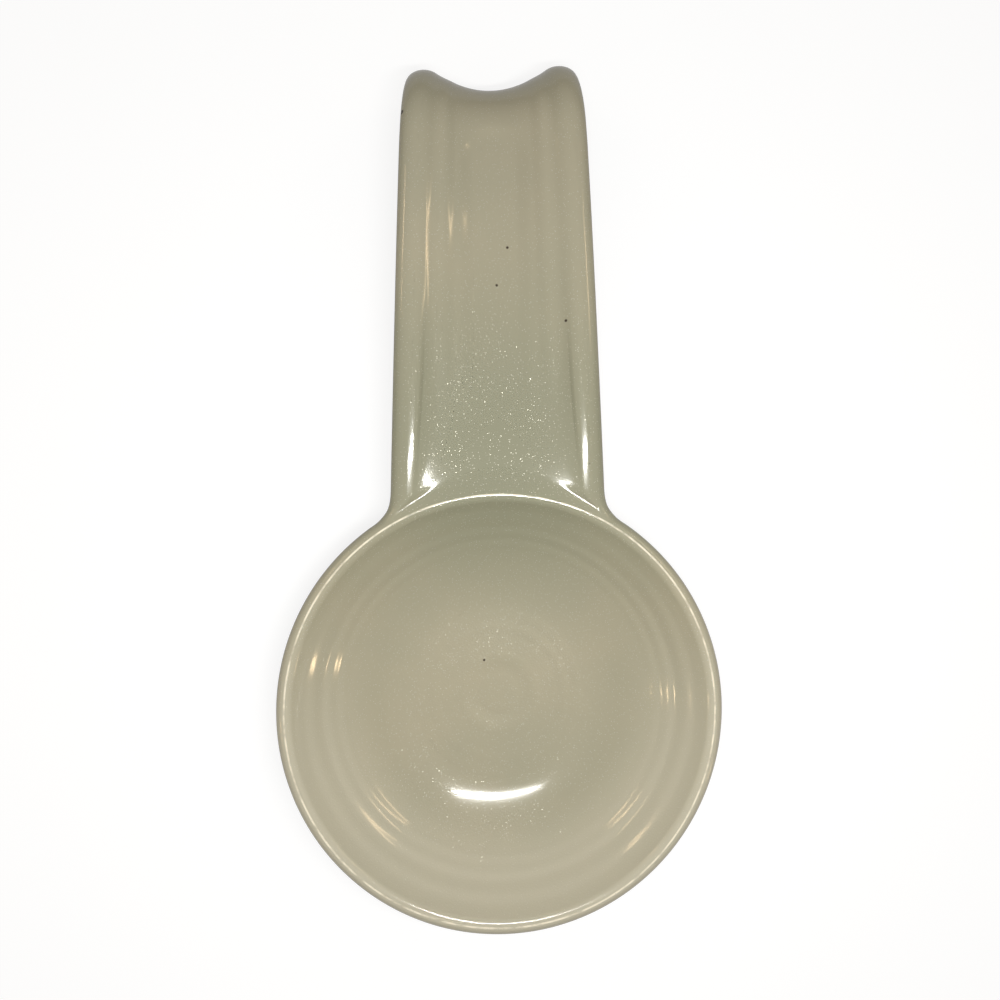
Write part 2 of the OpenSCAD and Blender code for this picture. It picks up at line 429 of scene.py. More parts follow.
def turned(section: Points, azimuth: np.ndarray) -> Points:
    """Sets points of a section, as radius and height, at azimuths in radians from +Y towards -X."""
    r, z = section[..., 0], section[..., 1]
    return np.stack([-r * np.sin(azimuth), r * np.cos(azimuth), z + 0 * azimuth], -1)


def by_stretch(stretch: np.ndarray, *values: np.ndarray | float) -> np.ndarray:
    """For each point the value of its stretch: top, upper corner, lower corner or bottom, numbered from 0."""
    return np.select([stretch == kind for kind in range(len(values))], values)


@dataclass
class Opening:
    """The outline on the dish's outer skin inside which the handle grows out of it."""

    half_angle: float = 34.2
    top_s: float = 0.3
    bottom_s: float = 10.2
    corner: float = 5.5

    def outline(self, profile: DishProfile, share: np.ndarray, stretch: np.ndarray) -> Points:
        """The outline as distance round the dish and distance past the crest.

        Args:
            profile: The dish in section.
            share: For each point, how far it is along its stretch.
            stretch: For each point, the number of its stretch.

        Returns:
            One (round, past) pair a point, for the half on the side of +X.
        """
        half = math.radians(self.half_angle) * profile.radius
        straight = half - self.corner
        middle, rise = (self.top_s + self.bottom_s) / 2, (self.bottom_s - self.top_s) / 2
        turn = share * np.pi / 2
        x = by_stretch(
            stretch, straight * share, straight + self.corner * np.sin(turn),
            straight + self.corner * np.cos(turn), straight * (1 - share),
        )
        s = by_stretch(
            stretch, self.top_s, middle - rise * np.cos(turn), middle + rise * np.sin(turn), self.bottom_s,
        )
        return np.stack([x, s], 1)


@dataclass
class Dish:
    """The round dish: its clay, its glaze coat, the coat under its base, and the foot ring."""

    profile: DishProfile
    glaze_t: float = 0.4
    columns: int = 288
    patch_columns: int = 35
    fine_from: float = -5.0
    patch_from: float = -0.9
    coarse_from: float = 4.6
    patch_to: float = 13.0
    hollow_step: float = 0.42
    lip_step: float = 0.2
    side_step: float = 0.6
    opening_gap: float = 0.22
    same_point: float = 1e-7
    foot_edge: float = 0.8
    edge_points: int = 7
    side_points: int = 12
    seat_points: int = 12
    flare_points: int = 14
    clay_stride: int = 4
    side_stride: int = 6

    def stations(self) -> np.ndarray:
        """Sets the skin's rows, closest round the lip.

        Returns:
            Distances past the crest.
        """
        p = self.profile
        stops = (p.s[0], self.fine_from, self.patch_from, self.coarse_from, self.patch_to, p.s[-1])
        steps = (self.hollow_step, self.lip_step, self.lip_step, self.side_step, self.side_step)
        rows = [
            np.linspace(a, b, max(2, round((b - a) / step)), endpoint=False)
            for a, b, step in zip(stops, stops[1:], steps)
        ]
        return np.append(np.concatenate(rows)[1:], p.s[-1])

    def skin(self, opening: Points) -> Skin:
        """The outer skin of the dish's glaze, with the handle's opening left out.

        Args:
            opening: The opening's outline in order, as distance round the dish and past the crest.

        Returns:
            The skin; its last points are the opening's.
        """
        p, s = self.profile, self.stations()
        angle = np.arange(self.columns) * 2 * np.pi / self.columns
        rows, near = len(s), self.patch_columns
        top = int(np.argmin(np.abs(s - self.patch_from)))
        bottom = int(np.argmin(np.abs(s - self.patch_to)))

        def outside_patch(j: int, i: int) -> bool:
            """Says whether the cell at row j and column i is outside the patch round the opening."""
            turn = i if i < self.columns // 2 else i - self.columns
            return not (top <= j < bottom and -near <= turn < near)

        pole = rows * self.columns
        faces = grid_faces(rows, self.columns, outside_patch)
        faces += fan_faces(pole, 0, self.columns)
        faces += self.patch_faces(opening, s, top, bottom)
        line, normal = p.at(s)
        rim_line, rim_normal = p.at(opening[:, 1])
        rim_angle = opening[:, 0] / p.radius
        grid = turned(line[:, None], angle[None]).reshape(-1, 3)
        grid_normals = turned(normal[:, None], angle[None]).reshape(-1, 3)
        points = np.vstack([grid, [[0, 0, p.line[0, 1]]], turned(rim_line, rim_angle)])
        normals = np.vstack([grid_normals, [[0, 0, 1.0]], turned(rim_normal, rim_angle)])
        return Skin(points, normals, facing(points, normals, faces))

    def patch_faces(self, opening: Points, s: np.ndarray, top: int, bottom: int) -> Faces:
        """Joins the grid to the opening's outline with triangles.

        Args:
            opening: The opening's outline, as distance round the dish and past the crest.
            s: Distances past the crest of the grid's rows.
            top: First row of the patch.
            bottom: Last row of the patch.

        Returns:
            The triangles; the opening's points are numbered after the grid's and the pole.
        """
        near = self.patch_columns
        cells = [(j, i) for j in range(top, bottom + 1) for i in range(-near, near + 1)]
        flat = np.array([[i * 2 * np.pi / self.columns * self.profile.radius, s[j]] for j, i in cells])
        on_edge = np.array([j in (top, bottom) or abs(i) == near for j, i in cells])
        inside, gap = distance_to(flat, opening)
        kept = on_edge | (~inside & (gap > self.opening_gap))
        index = [j * self.columns + i % self.columns for (j, i), k in zip(cells, kept) if k]
        n, count, first = len(index), len(opening), len(s) * self.columns + 1
        index += range(first, first + count)
        flat = np.vstack([flat[kept], opening])
        loop = [(n + i, n + (i + 1) % count) for i in range(count)]
        whole_hull, faces = 0, []
        cut = delaunay_2d_cdt([Vector(q) for q in flat], loop, [], whole_hull, self.same_point)
        triangles, sources = cut[2:4]
        for triangle in triangles:
            a, b, c = (sources[i][0] for i in triangle)
            if not distance_to(flat[[a, b, c]].mean(0)[None], opening)[0][0]:
                faces.append((index[a], index[b], index[c]))
        return faces

    def clay(self) -> Skin:
        """Builds the clay of the dish.

        Returns:
            The clay, closed under the foot ring.
        """
        p, t = self.profile, self.glaze_t
        seat = self.seat(self.seat_points)
        section = np.vstack([
            p.hollow(t)[::self.clay_stride], p.lip(t)[1::self.clay_stride], p.outside(t)[1::self.side_stride],
            seat[1:-1], p.base(t),
        ])
        return revolved(section, self.columns)

    def seat(self, count: int) -> Points:
        """Lays the clay face that the foot ring grows from.

        Args:
            count: Number of points.

        Returns:
            Its section as radius and height, from its outer side to its inner side.
        """
        p = self.profile
        across = np.linspace(p.foot_r + p.foot_flare, p.foot_r - p.foot_face - p.foot_flare, count)
        return p.cap(across, p.floor_curve + p.floor_t - self.glaze_t)

    def base_coat(self) -> Skin:
        """The coat of glaze on the underside, inside the foot ring."""
        return revolved(self.profile.base(0), self.columns).coat(self.glaze_t)

    def foot_ring(self) -> Skin:
        """Builds the bare foot ring.

        Returns:
            The ring, flared where it joins the dish and rounded where it stands.
        """
        p, edge = self.profile, self.foot_edge
        inner, outer = p.foot_r - p.foot_face, p.foot_r
        top = self.seat(self.flare_points)
        low = np.vstack([
            arc(np.array([inner + edge, edge]), edge, 180, 270, self.edge_points),
            arc(np.array([outer - edge, edge]), edge, 270, 360, self.edge_points),
        ])
        u = np.linspace(0, 1, self.side_points)[1:-1, None]
        inside = top[-1] * (1 - u) + low[0] * u
        outside = low[-1] * (1 - u) + top[0] * u
        return revolved(np.vstack([top, inside, low, outside]), self.columns, closed=True)


def revolved(section: Points, columns: int, closed: bool = False) -> Skin:
    """Turns a section about the axis.

    Args:
        section: Points as radius and height, running with the outside on their left.
        columns: Number of points round the axis.
        closed: Says that the section runs back to its first point.

    Returns:
        The skin; a point on the axis becomes one pole.
    """
    if closed:
        ahead, behind = np.roll(section, -1, axis=0), np.roll(section, 1, axis=0)
        along = unit(ahead - behind)
    else:
        along = unit(np.gradient(section, axis=0))
    normal = np.stack([-along[:, 1], along[:, 0]], 1)
    on_axis = section[:, 0] < ON_AXIS
    angle = np.arange(columns) * 2 * np.pi / columns
    body = ~on_axis
    points = turned(section[body][:, None], angle[None]).reshape(-1, 3)
    normals = turned(normal[body][:, None], angle[None]).reshape(-1, 3)
    rows = int(body.sum())
    faces = grid_faces(rows, columns)
    if closed:
        last = (rows - 1) * columns
        faces += [(last + i, last + (i + 1) % columns, (i + 1) % columns, i) for i in range(columns)]
    for end, row in ((0, 0), (-1, rows - 1)):
        if on_axis[end]:
            pole = len(points)
            points = np.vstack([points, [[0, 0, section[end, 1]]]])
            normals = np.vstack([normals, [[0, 0, np.sign(normal[end, 1])]]])
            faces += fan_faces(pole, row * columns, columns)
    return Skin(points, normals, facing(points, normals, faces))


def distance_to(points: Points, loop: Points) -> tuple[np.ndarray, np.ndarray]:
    """Sets flat points against a closed outline.

    Args:
        points: The flat points.
        loop: The outline's corners in order.

    Returns:
        Which points lie inside the outline, and how far each is from it.
    """
    a, b = loop, np.roll(loop, -1, axis=0)
    edge = b - a
    offset = points[:, None] - a[None]
    share = np.clip((offset * edge).sum(-1) / (edge * edge).sum(-1), 0, 1)
    gap = np.linalg.norm(offset - share[..., None] * edge, axis=-1).min(1)
    above = (a[:, 1] > points[:, None, 1]) != (b[:, 1] > points[:, None, 1])
    rise = np.where(edge[:, 1] == 0, 1.0, edge[:, 1])
    cross = a[:, 0] + (points[:, None, 1] - a[:, 1]) * edge[:, 0] / rise
    inside = (above & (points[:, None, 0] < cross)).sum(1) % 2 == 1
    return inside, gap


def facing(points: Points, normals: Points, faces: Faces) -> Faces:
    """Turns faces to look along their points' normals.

    Args:
        points: The points.
        normals: Their normals.
        faces: Faces of three or four sides.

    Returns:
        The same faces, each in the order that looks along the normals.
    """
    corners = np.array([(f[0], f[1], f[2], f[-1]) for f in faces])
    a, b, c, d = (points[corners[:, i]] for i in range(4))
    ahead = (np.cross(c - a, d - b) * normals[corners[:, 0]]).sum(1) > 0
    return [f if keep else tuple(reversed(f)) for f, keep in zip(faces, ahead)]


# The handle


@dataclass
class HandlePath:
    """The middle of the trough's floor seen from the side: a slow arch, a roll and a leg."""

    reach: float
    dish_radius: float
    dish_height: float
    lip_t: float
    root_w: float = 51.6
    end_w: float = 39.6
    trough_d: float = 5.0
    root_drop: float = 0.2
    root_slope: float = 5.0
    roll_slope: float = -1.0
    leg_slope: float = -90.0
    bend_r: float = 17.0
    fillet_r: float = 10.0
    slopes: Triple = field(init=False)
    start_y: float = field(init=False)
    start_z: float = field(init=False)
    arch_r: float = field(init=False)
    arch_l: float = field(init=False)
    bend_l: float = field(init=False)
    length: float = field(init=False)

    def __post_init__(self) -> None:
        """Works out where the arch, the roll and the leg meet."""
        self.slopes = tuple(math.radians(a) for a in (self.root_slope, self.roll_slope, self.leg_slope))
        root, roll, leg = self.slopes
        self.start_y = math.sqrt(self.dish_radius**2 - (self.root_w / 2 + self.fillet_r) ** 2) - self.lip_t
        fall = (self.dish_radius - self.start_y) * math.tan(root)
        self.start_z = self.dish_height - self.root_drop - fall
        bend_y = self.reach - self.trough_d - self.bend_r * (math.sin(roll) - math.sin(leg))
        self.arch_r = (bend_y - self.start_y) / (math.sin(root) - math.sin(roll))
        bend_z = self.start_z + self.arch_r * (math.cos(roll) - math.cos(root))
        self.arch_l = self.arch_r * math.radians(self.root_slope - self.roll_slope)
        self.bend_l = self.bend_r * math.radians(self.roll_slope - self.leg_slope)
        self.length = self.arch_l + self.bend_l + (bend_z - self.bend_r * math.cos(roll))

    def at(self, run: np.ndarray) -> tuple[Points, np.ndarray]:
        """Finds places along the path.

        Args:
            run: Distances along the path.

        Returns:
            The points as (y, z), and the path's slope in radians.
        """
        root, roll, leg = self.slopes
        on_arch = np.clip(run, 0, self.arch_l)
        on_bend = np.clip(run - self.arch_l, 0, self.bend_l)
        slope_a = root - on_arch / self.arch_r
        slope_b = roll - on_bend / self.bend_r
        y = self.start_y + self.arch_r * (math.sin(root) - np.sin(slope_a))
        y = y + self.bend_r * (math.sin(roll) - np.sin(slope_b))
        z = self.start_z + self.arch_r * (np.cos(slope_a) - math.cos(root))
        z = z + self.bend_r * (np.cos(slope_b) - math.cos(roll))
        z = z - np.maximum(run - self.arch_l - self.bend_l, 0)
        slope = np.where(run < self.arch_l, slope_a, np.maximum(slope_b, leg))
        return np.stack([y, z], -1), slope

    def run_to(self, y: float | np.ndarray) -> np.ndarray:
        """Distance along the path at which the arch passes y."""
        root = self.slopes[0]
        return self.arch_r * (root - np.arcsin(math.sin(root) - (y - self.start_y) / self.arch_r))


@dataclass
class HandleSection:
    """The handle's section: rolled edges, a shallow trough and a stepped channel along its middle."""

    path: HandlePath
    thickness: float = 4.6
    root_trough_d: float = 0.5
    bead_in: float = 3.9
    bead_h: float = 2.4
    edge_h: float = 5.0
    under_in: float = 3.0
    under_power: int = 4
    channel_w: float = 13.2
    step_w: float = 3.6
    step_h: float = 0.5
    ridge_place: float = 0.6
    ridge_w: float = 0.24
    ridge_h: float = 0.22
    groove_place: float = 0.8
    groove_w: float = 0.36
    groove_d: float = 0.45
    fade_from: float = 62.0
    fade_over: float = 34.0
    even_rise: float = 0.55
    root_power: float = 6.0
    even_power: float = 2.0
    power_from: float = 36.0
    power_over: float = 46.0
    sag: float = 1.2
    sag_place: float = 71.0
    sag_length: float = 54.0
    roll_narrow: float = 0.5
    roll_lead: float = 6.0
    end_skew: float = 1.6
    most_lean: float = 60.0
    lean_passes: int = 30
    counts: tuple[int, int, int, int] = (56, 14, 8, 18)

    def stretches(self) -> tuple[np.ndarray, np.ndarray, np.ndarray]:
        """Numbers the points of the whole outline.

        Returns:
            For each point its share of its stretch, the stretch and its side.
        """
        share, stretch = [], []
        for kind, count in enumerate(self.counts):
            share += [i / count for i in range(count)]
            stretch += [kind] * count
        share, stretch = np.array(share + [1.0]), np.array(stretch + stretch[-1:])
        back = slice(len(share) - 2, 0, -1)
        side = np.concatenate([np.ones(len(share)), -np.ones(len(share) - 2)])
        return np.concatenate([share, share[back]]), np.concatenate([stretch, stretch[back]]), side

    def half_width(self, run: np.ndarray) -> np.ndarray:
        """Gives half of the handle's width.

        Args:
            run: Distances along the path.

        Returns:
            Half of the width at each.
        """
        p = self.path
        narrow = self.roll_narrow * ease((run - p.arch_l + self.roll_lead) / p.bend_l)
        return (p.root_w + (p.end_w - p.root_w) * run / p.length) / 2 - narrow

    def depth(self, run: np.ndarray) -> np.ndarray:
        """Gives how far the edges stand above the trough's floor.

        Args:
            run: Distances along the path.

        Returns:
            The trough's depth at each.
        """
        share = np.clip(run / self.path.arch_l, 0, 1)
        rise = self.even_rise * share + (1 - self.even_rise) * ease(share)
        return self.root_trough_d + (self.path.trough_d - self.root_trough_d) * rise

    def relief(self, x: np.ndarray, crest: np.ndarray, run: np.ndarray, y: np.ndarray) -> np.ndarray:
        """Raises the channel's step and the fine ridge, and sinks the groove and the sag.

        Args:
            x: Distances from the trough's middle.
            crest: Distance of the edge's crest from it.
            run: Distances along the path.
            y: Distances from the dish's axis.

        Returns:
            Heights over the trough's floor.
        """
        p = self.path
        shown = ease((y - self.fade_from) / self.fade_over) * (1 - ease((run - p.arch_l) / p.bend_l))
        past = np.maximum(run - p.arch_l + self.channel_w / 2, 0)
        from_channel = np.hypot(x, past) - self.channel_w / 2 + self.step_w / 2
        share = x / crest
        sag = self.sag * bump(y - self.sag_place, self.sag_length) * (1 - share * share)
        return -sag + shown * (
            self.step_h * ease(from_channel / self.step_w)
            + self.ridge_h * bump(share - self.ridge_place, self.ridge_w)
            - self.groove_d * bump(share - self.groove_place, self.groove_w)
            - self.step_h * ease((share - self.groove_place) / (1 - self.groove_place))
        )

    def power(self, run: np.ndarray) -> np.ndarray:
        """Power that the trough rises by: flat with steep edges at the root, an even hollow further on."""
        share = 1 - ease((run - self.power_from) / self.power_over)
        return self.even_power + (self.root_power - self.even_power) * share

    def lean(self, width: np.ndarray, depth: np.ndarray, power: np.ndarray) -> np.ndarray:
        """Finds the angle on the rounded edge, from its crest inwards, at which the trough's curve meets it.

        Args:
            width: Half of the handle's width.
            depth: How far the edges stand above the trough's floor.
            power: Power that the trough rises by.

        Returns:
            The angles in radians.
        """
        low, high = np.zeros_like(width), np.full_like(width, math.radians(self.most_lean))
        for _ in range(self.lean_passes):
            t = (low + high) / 2
            meet = width - self.bead_in * (1 + np.sin(t))
            climb = meet * (self.bead_h / self.bead_in) * np.tan(t) / power
            over = climb - depth + self.bead_h * (1 - np.cos(t))
            low, high = np.where(over < 0, t, low), np.where(over < 0, high, t)
        return (low + high) / 2

    def at(self, run: np.ndarray) -> Points:
        """Places the outline's points, each at its own distance along the path.

        Args:
            run: One distance for each point of the outline.

        Returns:
            The points in space.
        """
        share, stretch, side = self.stretches()
        spine, slope = self.path.at(run)
        width, depth, power = self.half_width(run), self.depth(run), self.power(run)
        lean = self.lean(width, depth, power)
        meet = width - self.bead_in * (1 + np.sin(lean))
        rise = depth - self.bead_h * (1 - np.cos(lean))
        turn = share * (lean + np.pi / 2) - lean
        fall = share * np.pi / 2
        flat = width - self.under_in
        drop = self.edge_h - self.bead_h
        x = by_stretch(
            stretch, share * meet, width - self.bead_in * (1 - np.sin(turn)),
            flat + self.under_in * np.cos(fall), flat * (1 - share),
        )
        s = 1 - share
        h = by_stretch(
            stretch,
            rise * share**power + self.relief(x, width - self.bead_in, run, spine[:, 0]),
            depth - self.bead_h * (1 - np.cos(turn)),
            depth - self.bead_h - drop * np.sin(fall),
            depth * s * s - self.thickness - (self.edge_h - self.thickness) * s**self.under_power,
        )
        x = side * x
        y = spine[:, 0] - h * np.sin(slope) - self.end_skew * (1 - x / width) / 2 * run / self.path.length
        return np.stack([x, y, spine[:, 1] + h * np.cos(slope)], 1)


@dataclass
class Handle:
    """The trough handle: its glaze coat, the clay under it and the bare heel that it stands on."""

    section: HandleSection
    profile: DishProfile
    opening: Opening
    glaze_t: float = 0.4
    heel_h: float = 2.0
    middle_y: float = 57.0
    side_y: float = 50.8
    even_over: float = 14.0
    root_rows: int = 22
    root_spread: float = 1.5
    probe: float = 0.05
    even_rows: int = 16
    arch_rows: int = 70
    bend_rows: int = 46
    leg_rows: int = 12
    heel_edge: float = 0.5
    heel_round: float = 0.3
    joint_rings: int = 12

    def opening_line(self) -> Points:
        """Lays the opening's outline all round.

        Returns:
            Its points, one for each point of the handle's outline.
        """
        share, stretch, side = self.section.stretches()
        line = self.opening.outline(self.profile, share, stretch)
        line[:, 0] *= -side
        return line

    def root_runs(self) -> np.ndarray:
        """Sets where each point of the outline leaves the flowing root.

        Returns:
            Distances along the path.
        """
        share, stretch, _ = self.section.stretches()
        across = by_stretch(stretch, share, 1.0, 1.0, 1 - share)
        y = self.middle_y + (self.side_y - self.middle_y) * across**2
        return self.section.path.run_to(y)

    def skin(self) -> Skin:
        """Builds the outer skin of the handle's glaze.

        Returns:
            The skin from the opening in the dish, whose points come first, to the heel.
        """
        path, loop = self.section.path, self.opening_line()
        line, normal = self.profile.at(loop[:, 1])
        angle = loop[:, 0] / self.profile.radius
        start, start_normals = turned(line, angle), turned(normal, angle)
        leave = self.root_runs()
        even = leave.max() + self.even_over
        shares = [j / self.even_rows for j in range(self.even_rows)]
        roll_end = path.arch_l + path.bend_l
        stops = np.concatenate([
            np.linspace(even, path.arch_l, self.arch_rows, endpoint=False),
            np.linspace(path.arch_l, roll_end, self.bend_rows, endpoint=False),
            np.linspace(roll_end, path.length - self.heel_h, self.leg_rows),
        ])
        rows = self.flowing_rows(start, start_normals, leave)
        rows += [self.section.at(leave + (even - leave) * share) for share in shares]
        rows += [self.section.at(np.full(len(start), run)) for run in stops]
        grid = np.array(rows)
        across = np.roll(grid, -1, axis=1) - np.roll(grid, 1, axis=1)
        normals = unit(np.cross(across, np.gradient(grid, axis=0)))
        normals[0] = start_normals
        points, normals = grid.reshape(-1, 3), normals.reshape(-1, 3)
        return Skin(points, normals, facing(points, normals, grid_faces(len(rows), len(start))))

    def flowing_rows(self, start: Points, start_normals: Points, leave: np.ndarray) -> list[Points]:
        """Lays the rows that flow from the dish's skin into the handle.

        Args:
            start: The opening's points.
            start_normals: The dish's normals there.
            leave: Distances along the path at which the outline's points leave the flow.

        Returns:
            The rows, from the opening on.
        """
        along = unit(np.roll(start, -1, axis=0) - np.roll(start, 1, axis=0))
        inwards = unit(np.cross(start_normals, along))
        end = self.section.at(leave)
        onwards = unit(self.section.at(leave + self.probe) - end)
        reach = np.linalg.norm(end - start, axis=1, keepdims=True)
        shares = [(j / self.root_rows) ** self.root_spread for j in range(self.root_rows)]
        return [hermite(start, inwards * reach, end, onwards * reach, u) for u in shares]

    def end_cap(self, skin: Skin) -> tuple[int, ...]:
        """Closes the foot end of the handle's skin.

        Args:
            skin: The handle's skin.

        Returns:
            One many-sided face.
        """
        count = len(self.section.stretches()[0])
        last = len(skin.points) - count
        return tuple(range(last, last + count))

    def joint(self) -> Skin:
        """Builds the clay face that meets the dish's clay inside the opening.

        Returns:
            The face, as rings round its middle, the outer ring first.
        """
        loop = self.opening_line()
        middle = np.array([0, loop[:, 1].mean()])
        shares = np.linspace(1, 0, self.joint_rings, endpoint=False)
        rings = [middle + (loop - middle) * share for share in shares]
        flat = np.vstack(rings + [middle[None]])
        line, normal = self.profile.at(flat[:, 1])
        angle = flat[:, 0] / self.profile.radius
        points = turned(line - normal * self.glaze_t, angle)
        normals = -turned(normal, angle)
        count, pole = len(loop), len(flat) - 1
        faces = grid_faces(len(rings), count)
        faces += fan_faces(pole, pole - count, count)
        return Skin(points, normals, facing(points, normals, faces))

    def clay(self, skin: Skin) -> Skin:
        """Builds the clay under the coat.

        Args:
            skin: The handle's skin.

        Returns:
            The clay, closed at the dish and at the heel.
        """
        joint = self.joint()
        count = len(self.section.stretches()[0])
        first = len(skin.points)

        def shared(i: int) -> int:
            """Number of a point of the joint in the whole clay; its outer ring is the skin's first row."""
            return i if i < count else i - count + first

        faces = skin.faces + [self.end_cap(skin)] + [tuple(shared(i) for i in f) for f in joint.faces]
        return Skin(
            np.vstack([skin.moved(-self.glaze_t), joint.points[count:]]),
            np.vstack([skin.normals, joint.normals[count:]]),
            faces,
        )

    def heel(self, skin: Skin) -> Skin:
        """Builds the bare heel.

        Args:
            skin: The handle's skin.

        Returns:
            The heel, closed, with a small rounding where it meets the counter.
        """
        count = len(self.section.stretches()[0])
        top, out = skin.moved(-self.glaze_t)[-count:], skin.normals[-count:]
        edge, part = self.heel_edge, self.heel_edge * self.heel_round
        rings = [
            top,
            top * [1, 1, 0] + [0, 0, edge],
            (top - out * part) * [1, 1, 0] + [0, 0, part],
            (top - out * edge) * [1, 1, 0],
        ]
        points = np.vstack(rings)
        normals = np.tile(out, (len(rings), 1))
        faces = facing(points, normals, grid_faces(len(rings), count))
        caps = [tuple(range(count)), tuple(range(len(points) - count, len(points)))]
        return Skin(points, normals, faces + caps)


# Finishes


NUMBER = "NodeSocketFloat"
VECTOR = "NodeSocketVector"

# A Mix node's sockets for colours, by number, since its number and vector sockets have the same names
COLOUR_A, COLOUR_B, COLOUR_OUT = 6, 7, 2


def srgb(red: int, green: int, blue: int) -> Colour:
    """Turns a display colour into the shader's linear colour by the sRGB curve.

    Args:
        red: Red, from 0 to 255.
        green: Green, from 0 to 255.
        blue: Blue, from 0 to 255.

    Returns:
        The linear colour, opaque.
    """
    linear = [c / 255 for c in (red, green, blue)]
    linear = [c / 12.92 if c <= 0.04045 else ((c + 0.055) / 1.055) ** 2.4 for c in linear]
    return (*linear, 1.0)


@dataclass(frozen=True)
class Fade:
    """An eased change, from the value where it starts to the value where it is full, and its share there."""

    start: float
    full: float
    share: float = 1.0


@dataclass(frozen=True)
class Clouds:
    """Soft clouds of tone: their scale, and the noise at which they start and are full."""

    scale: float = 40.0
    low: float = 0.4
    high: float = 0.6


@dataclass(frozen=True)
class Specks:
    """Scattered specks: their cells' scale, their size in a cell, and the share of cells that have one."""

    scale: float = 150.0
    size: float = 0.06
    share: float = 0.1


@dataclass(frozen=True)
class Grit:
    """Fine grains, by their scale."""

    scale: float = 4000.0


@dataclass(frozen=True)
class Flakes:
    """Flat flakes: their cells' scale, their size, the share of cells that have one, and their lean."""

    scale: float = 2000.0
    size: float = 0.16
    share: float = 0.6
    tilt: float = 0.26


Settings = Clouds | Specks | Grit | Flakes


def inputs_of(settings: Settings) -> dict[str, float]:
    """An effect's settings by the names of its group's inputs."""
    return {name.capitalize(): value for name, value in asdict(settings).items()}


class Graph:
    """Adds nodes to a material or a node group and joins them."""

    def __init__(self, tree: bpy.types.NodeTree) -> None:
        """Starts on an empty tree."""
        self.tree = tree
        tree.nodes.clear()

    def add(self, kind: str, inputs: Inputs | None = None, **settings: object) -> bpy.types.Node:
        """Adds one node.

        Args:
            kind: The node's type name.
            inputs: Values or sockets for its inputs, by name or number.
            settings: Properties of the node.

        Returns:
            The node.
        """
        node = self.tree.nodes.new(kind)
        for name, value in settings.items():
            setattr(node, name, value)
        for name, value in (inputs or {}).items():
            if isinstance(value, Socket):
                self.tree.links.new(value, node.inputs[name])
            else:
                node.inputs[name].default_value = value
        return node

    def place(self) -> Socket:
        """Place of the shaded point on the object, in metres."""
        return self.add("ShaderNodeTexCoord").outputs["Object"]

    def math(self, operation: str, a: Value, b: Value = 0.0) -> Socket:
        """The result of a Math node on a and b."""
        return self.add("ShaderNodeMath", {0: a, 1: b}, operation=operation).outputs[0]

    def vector(self, operation: str, a: Value, b: Value | None = None) -> Socket:
        """Works on vectors.

        Args:
            operation: The Vector Math node's operation.
            a: A vector.
            b: The second vector, or the number that a vector is scaled by.

        Returns:
            A number for a distance or a length, else a vector.
        """
        second = {} if b is None else {"Scale" if operation == "SCALE" else 1: b}
        node = self.add("ShaderNodeVectorMath", {0: a, **second}, operation=operation)
        return node.outputs["Value" if operation in ("DISTANCE", "LENGTH") else "Vector"]

    def mix(self, share: Value, a: Value, b: Value) -> Socket:
        """Colour a turned into colour b by a share."""
        inputs = {0: share, COLOUR_A: a, COLOUR_B: b}
        return self.add("ShaderNodeMix", inputs, data_type="RGBA").outputs[COLOUR_OUT]

    def span(self, value: Value, low: Value, high: Value, to_low: float = 0, to_high: float = 1) -> Socket:
        """Maps a value from one range to another, eased and kept inside it.

        Args:
            value: The value.
            low: Where the first range starts.
            high: Where it ends.
            to_low: The result at low.
            to_high: The result at high.

        Returns:
            The result.
        """
        names = ("Value", "From Min", "From Max", "To Min", "To Max")
        inputs = dict(zip(names, (value, low, high, to_low, to_high)))
        return self.add("ShaderNodeMapRange", inputs, interpolation_type="SMOOTHSTEP").outputs[0]

    def fade(self, value: Value, fade: Fade) -> Socket:
        """Share of a change at a value: 0 before its start, its full share past its end."""
        return self.span(value, fade.start, fade.full, to_high=fade.share)


def new_material(name: str) -> tuple[bpy.types.Material, Graph]:
    """Starts a material.

    Args:
        name: Its name.

    Returns:
        The material and a graph on its empty tree.
    """
    material = bpy.data.materials.new(name)
    material.use_nodes = True
    return material, Graph(material.node_tree)


def new_group(name: str, usual: Settings, outputs: dict[str, str]) -> tuple[Graph, dict[str, Socket]]:
    """Starts a node group.

    Args:
        name: Its name.
        usual: Its usual settings, which name its inputs.
        outputs: Its outputs and the kind of each.

    Returns:
        A graph on the group, and its inputs by name.
    """
    tree = bpy.data.node_groups.new(name, "ShaderNodeTree")
    inputs = inputs_of(usual)
    for label, value in inputs.items():
        socket = tree.interface.new_socket(label, in_out="INPUT", socket_type=NUMBER)
        socket.default_value = value
    for label, kind in outputs.items():
        tree.interface.new_socket(label, in_out="OUTPUT", socket_type=kind)
    graph = Graph(tree)
    source = graph.add("NodeGroupInput")
    return graph, {label: source.outputs[label] for label in inputs}


def placed(g: Graph, tree: bpy.types.NodeTree, settings: Settings) -> bpy.types.NodeOutputs:
    """Places an effect in a material with its own settings and gives its outputs."""
    return g.add("ShaderNodeGroup", inputs_of(settings), node_tree=tree).outputs


